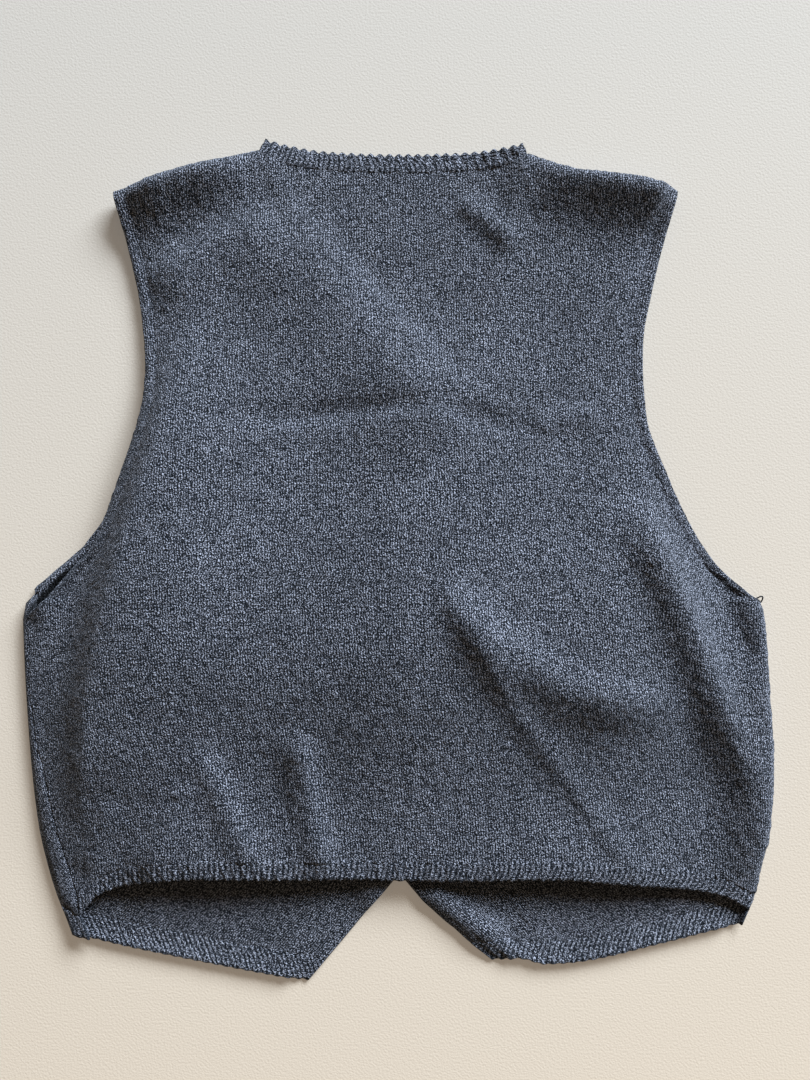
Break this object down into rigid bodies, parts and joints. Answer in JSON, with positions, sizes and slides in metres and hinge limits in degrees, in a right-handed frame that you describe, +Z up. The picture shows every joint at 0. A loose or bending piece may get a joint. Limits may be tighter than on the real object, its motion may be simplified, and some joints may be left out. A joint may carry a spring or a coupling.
{
  "type": "knitted sweater vest",
  "caption": "Sleeveless button-front knit waistcoat with a V neck and cut-away front points, laid flat on its front with its back on top.",
  "frame": {"origin": "on the surface that the vest lies on, under the middle of its bounding box", "axes": "+X across the body towards the wearer's right side, +Y along the body towards the neck, +Z up out of the back"},
  "size_m": [0.4904, 0.5491, 0.0339],
  "materials": {
    "knit": "matte nubby wool-blend stocking stitch in a dark blue-grey melange",
    "knit_rib": "the same yarn in a narrow one-by-one rib",
    "button": "satin dark plastic, four holes"
  },
  "bodies": {
    "root": {"back": "knit", "back_hem_rib": "knit_rib", "neck_rib": "knit_rib", "front_left": "knit", "front_left_hem_rib": "knit_rib", "front_left_neck_rib": "knit_rib", "front_right": "knit", "front_right_hem_rib": "knit_rib", "front_right_neck_rib": "knit_rib", "button_1": "button", "button_2": "button", "button_3": "button", "button_4": "button"}
  },
  "joints": []
}
